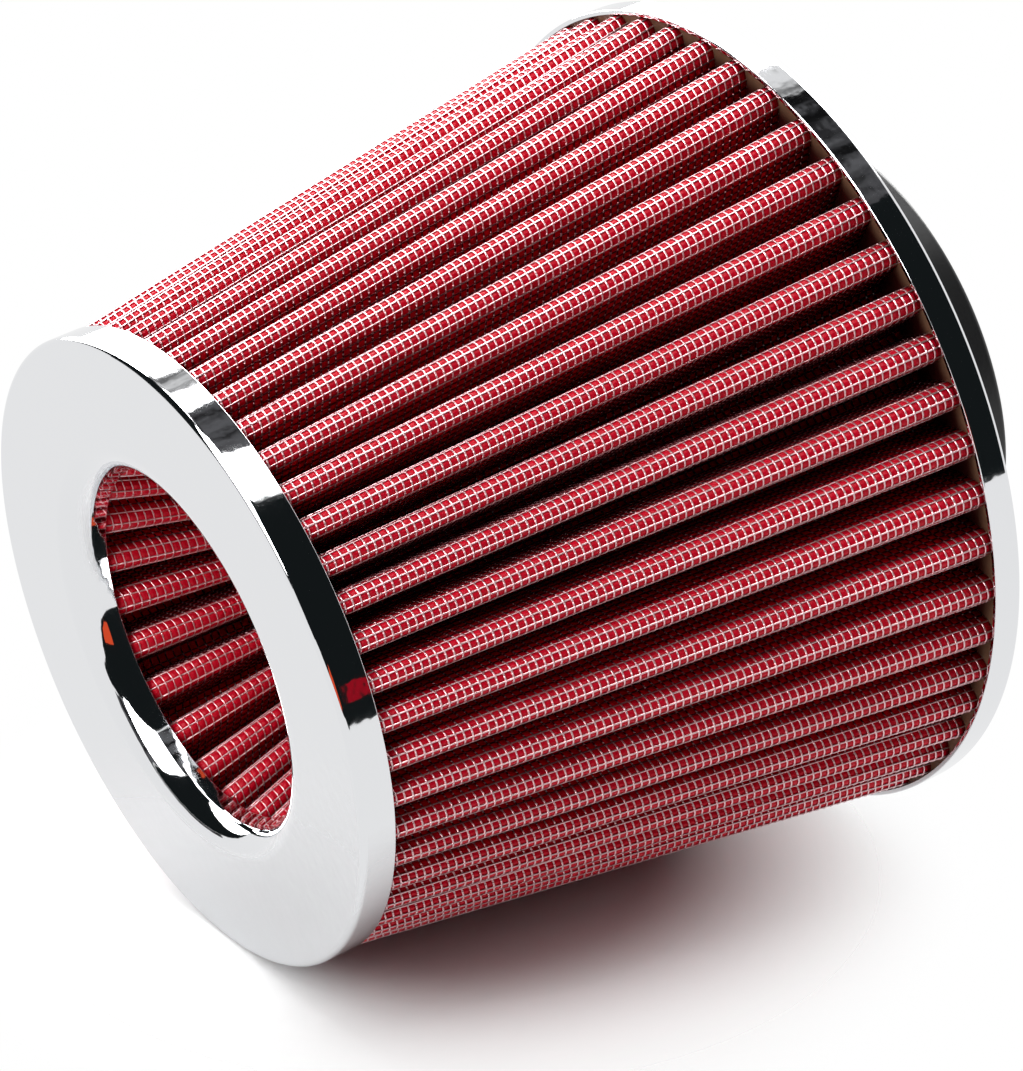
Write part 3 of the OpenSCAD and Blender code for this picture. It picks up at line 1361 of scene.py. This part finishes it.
    def build(self) -> None:
        """Builds every piece and logs it, and dresses the ring of resin that the cap hides."""
        for draw in (
            self.front_cap, self.rear_cap, self.neck, self.rear_resin, self.inner_end_cap
        ):
            report(draw().build())
        for pack in self.packs():
            for piece in pack.build():
                report(piece)
        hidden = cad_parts["front_resin"]
        hidden.data.materials.clear()
        hidden.data.materials.append(CastResin().material())


# Outlines of the studio's cards, as azimuth and elevation in degrees, seen from the filter
CAMERA_SIDE_DARK = [
    (-136, -36), (-134, -30), (-132, 0), (-129, 10), (-128, 30), (-122, 45), (-119, 52),
    (-112, 60), (-111, 66), (-116, 73), (-112, 78), (-90, 78), (-75, 70), (-70, 64), (-76, 59),
    (-72, 52), (-64, 45), (-58, 35), (-54, 22), (-52, 8), (-53, -30), (-52.5, -36),
]
CAP_SIDE_DARK = [
    (-18, 5), (8, 4), (7, 6), (9, 12), (16, 18), (26, 22), (36, 23), (44, 21), (50, 16), (53, 8),
    (54, 20), (53, 33), (49, 45), (42, 56), (34, 63), (24, 66), (14, 66), (6, 63), (-2, 57),
    (-8, 50), (-14, 38), (-17, 25), (-18, 14),
]
FAR_EDGE_DARK = [
    (-75, 70), (-68, 64), (-50, 66.5), (-30, 67), (-12, 65), (-3, 60), (6, 64), (14, 67),
    (24, 67), (34, 64), (42, 57), (49, 46), (53, 34), (59, 34), (54, 48), (45, 60), (34, 67),
    (20, 72), (0, 77), (-20, 80), (-40, 81), (-60, 80), (-75, 79),
]
OVERHEAD_FOLD = [
    (-52, -38), (-9, -38), (-10, -18), (-14, -5), (-18, 4), (-19, 12), (-30, 13),
    (-51, 13), (-51, 6), (-30, 5), (-24, 4), (-27, -10), (-32, -22), (-34, -27), (-54, -28),
]
OVERHEAD_SOFTBOX = [
    (-52, -28), (-34, -27), (-32, -22), (-27, -10), (-24, 4), (-18, 4), (-14, -5), (-10, -18),
    (-8, -55), (-8, -70), (62, -60), (60, -30), (57, 0), (53, 7), (50, 16), (44, 20.5),
    (36, 22.5), (26, 21.5), (16, 17.5), (9, 11.5), (7, 3.5), (-18, 4.5), (-24, 4.5), (-51, 5.5),
    (-52, 0),
]
CAP_SIDE_SOFTBOX = [
    (-51, 13.5), (-30, 13.5), (-19, 12.5), (-17.5, 25), (-14.5, 38), (-8.5, 50), (-2.5, 57),
    (-3.5, 60), (-12, 64.5), (-30, 66.5), (-50, 66), (-68, 64), (-74, 60), (-72, 52), (-64, 45),
    (-58, 35), (-54, 22),
]
ORANGE_STAND = [(-124, 18), (-126, 28), (-122, 42), (-117, 46), (-113, 34), (-110, 22), (-115, 18)]
RED_MARKER = [(-124.5, -18.2), (-118.5, -18.2), (-118.5, -17.1), (-124.5, -17.1)]
GREY_GAP = [(-2, -27), (9, -27), (9, 5), (-2, 8)]
FOLD_EDGE = [(-15, -42), (-3, -42), (-3, -27.5), (-15, -27.5)]


@dataclass
class Studio:
    """The white table, the cards, the world's soft light and the camera.

    The filter's own frame stands it on its neck. The photograph shows it lying on its cap and
    its band, so the table is the plane that touches both, and the camera looks from above it.
    """

    up: tuple[float, float, float] = (0.845, -0.513, -0.151)
    table_drop: float = 81.08
    table_z: float = 93.0
    eye: tuple[float, float, float] = (26.7, -814.4, 482.1)
    right: tuple[float, float, float] = (-0.3944, -0.4183, -0.8182)
    upright: tuple[float, float, float] = (0.9183, -0.1458, -0.3681)
    focal_px: float = 5036.4
    long_side_px: float = 1071.0
    sensor_mm: float = 36.0
    clip_end_m: float = 20.0
    table_side_m: float = 1.0
    middle_z: float = 85.0
    far_card: float = 4000.0
    gap_card: float = 1500.0
    near_card: float = 700.0
    soft_light: float = 0.8
    mirrored_light: float = 0.92

    def camera(self) -> None:
        """The camera at the photograph's place, with its own roll."""
        data = bpy.data.cameras.new("camera")
        data.sensor_width = self.sensor_mm
        data.lens = self.focal_px * self.sensor_mm / self.long_side_px
        data.clip_end = self.clip_end_m
        camera = bpy.data.objects.new("camera", data)
        right, upright = Vector(self.right).normalized(), Vector(self.upright)
        back = right.cross(upright).normalized()
        upright = back.cross(right)
        turn = Matrix((right, upright, back)).transposed().to_4x4()
        camera.matrix_world = Matrix.Translation(Vector(self.eye) * MM) @ turn
        bpy.context.scene.collection.objects.link(camera)
        bpy.context.scene.camera = camera

    def table(self) -> None:
        """The pale table under the lying filter."""
        up = Vector(self.up).normalized()
        middle = Vector((0, 0, self.table_z))
        foot = middle - up * (middle.dot(up) + self.table_drop)
        Workbench.start()
        bpy.ops.mesh.primitive_plane_add(size=self.table_side_m, location=foot * MM)
        sheet = bpy.context.object
        sheet.name = "studio_table"
        sheet.rotation_mode = "QUATERNION"
        sheet.rotation_quaternion = up.to_track_quat("Z", "Y")
        sheet.data.materials.append(PaleFloor().material())

    def towards(self, azimuth: float, elevation: float, distance: float) -> Vector:
        """The point in a direction from the filter's middle, in metres.

        Args:
            azimuth: Angle round the filter's axis from +X, in degrees.
            elevation: Angle above the plane across the axis, in degrees.
            distance: Distance in millimetres.

        Returns:
            The point.
        """
        a, e = math.radians(azimuth), math.radians(elevation)
        way = Vector((math.cos(a) * math.cos(e), math.sin(a) * math.cos(e), math.sin(e)))
        return (Vector((0, 0, self.middle_z)) + way * distance) * MM

    def card(self, name: str, corners: list[Pair], finish: Finish, distance: float) -> None:
        """A card that the camera can't see, but mirrors and the light can.

        Args:
            name: The card's name.
            corners: Azimuth and elevation of its corners, in order.
            finish: Its finish.
            distance: Its distance from the filter, in millimetres.
        """
        mesh = bpy.data.meshes.new(name)
        points = [self.towards(*corner, distance) for corner in corners]
        triangles = tessellate_polygon([[Vector((*corner, 0)) for corner in corners]])
        mesh.from_pydata(points, [], triangles)
        mesh.materials.append(finish.material())
        card = bpy.data.objects.new(name, mesh)
        card.visible_camera = card.visible_transmission = card.visible_shadow = False
        bpy.context.scene.collection.objects.link(card)

    def world(self) -> None:
        """White to the eye and in mirrors, and a plain soft light on everything else."""
        world = bpy.data.worlds.new("studio_world")
        bpy.context.scene.world = world
        board = NodeBoard(world)
        path = board.add("LightPath")
        glossy, clear, seen = (
            path.outputs[f"Is {ray} Ray"] for ray in ("Glossy", "Transmission", "Camera")
        )
        mirrored = board.add("Math", {"operation": "ADD"}, s0=glossy, s1=clear)
        soft = board.add("MapRange", value=mirrored, s3=self.soft_light, s4=self.mirrored_light)
        strength = board.add("Math", {"operation": "MAXIMUM"}, s0=soft, s1=seen)
        glow = board.add("Background", color=linear("FFFFFF"), strength=strength)
        board.add("OutputWorld", surface=glow)

    def build(self) -> None:
        """Sets up everything round the filter."""
        self.camera()
        self.table()
        self.world()
        felt = StudioCard("black_felt", "15191A")
        cloth = StudioCard("grey_cloth", "454547", fold_shares=(0.1, 1.9))
        box = StudioCard("softbox_cloth", "FFFFFF", strength=3.0, glare=10.0)
        pale = StudioCard("light_grey_cloth", "A0A0A0", fold_mm=120.0, fold_shares=(0.4, 2.4))
        orange, red = StudioCard("orange_cloth", "E0502E"), StudioCard("red_cloth", "9C1020")
        for name, corners, finish, distance in (
            ("camera_side_dark", CAMERA_SIDE_DARK, felt, self.far_card),
            ("orange_stand", ORANGE_STAND, orange, self.near_card),
            ("grey_gap", GREY_GAP, pale, self.gap_card),
            ("fold_edge", FOLD_EDGE, pale, self.gap_card),
            ("red_marker", RED_MARKER, red, self.near_card),
            ("cap_side_dark", CAP_SIDE_DARK, felt, self.far_card),
            ("far_edge_dark", FAR_EDGE_DARK, cloth, self.far_card),
            ("overhead_fold", OVERHEAD_FOLD, cloth, self.far_card),
            ("overhead_softbox", OVERHEAD_SOFTBOX, box, self.far_card),
            ("cap_side_softbox", CAP_SIDE_SOFTBOX, box, self.far_card),
        ):
            self.card(name, corners, finish, distance)
        bpy.context.scene.view_settings.view_transform = "Standard"


def report(piece: bpy.types.Object) -> None:
    """Logs a finished piece, with its triangles and its size.

    Args:
        piece: The piece.
    """
    piece.data.calc_loop_triangles()
    size = ", ".join(f"{d / MM:.1f}" for d in piece.dimensions)
    LOG.info("%s: %d triangles, %s mm", piece.name, len(piece.data.loop_triangles), size)


def main() -> None:
    """Builds the filter and its studio."""
    logging.basicConfig(level=logging.INFO, format="%(message)s")
    Filter().build()
    Studio().build()


if __name__ == "__main__":
    main()
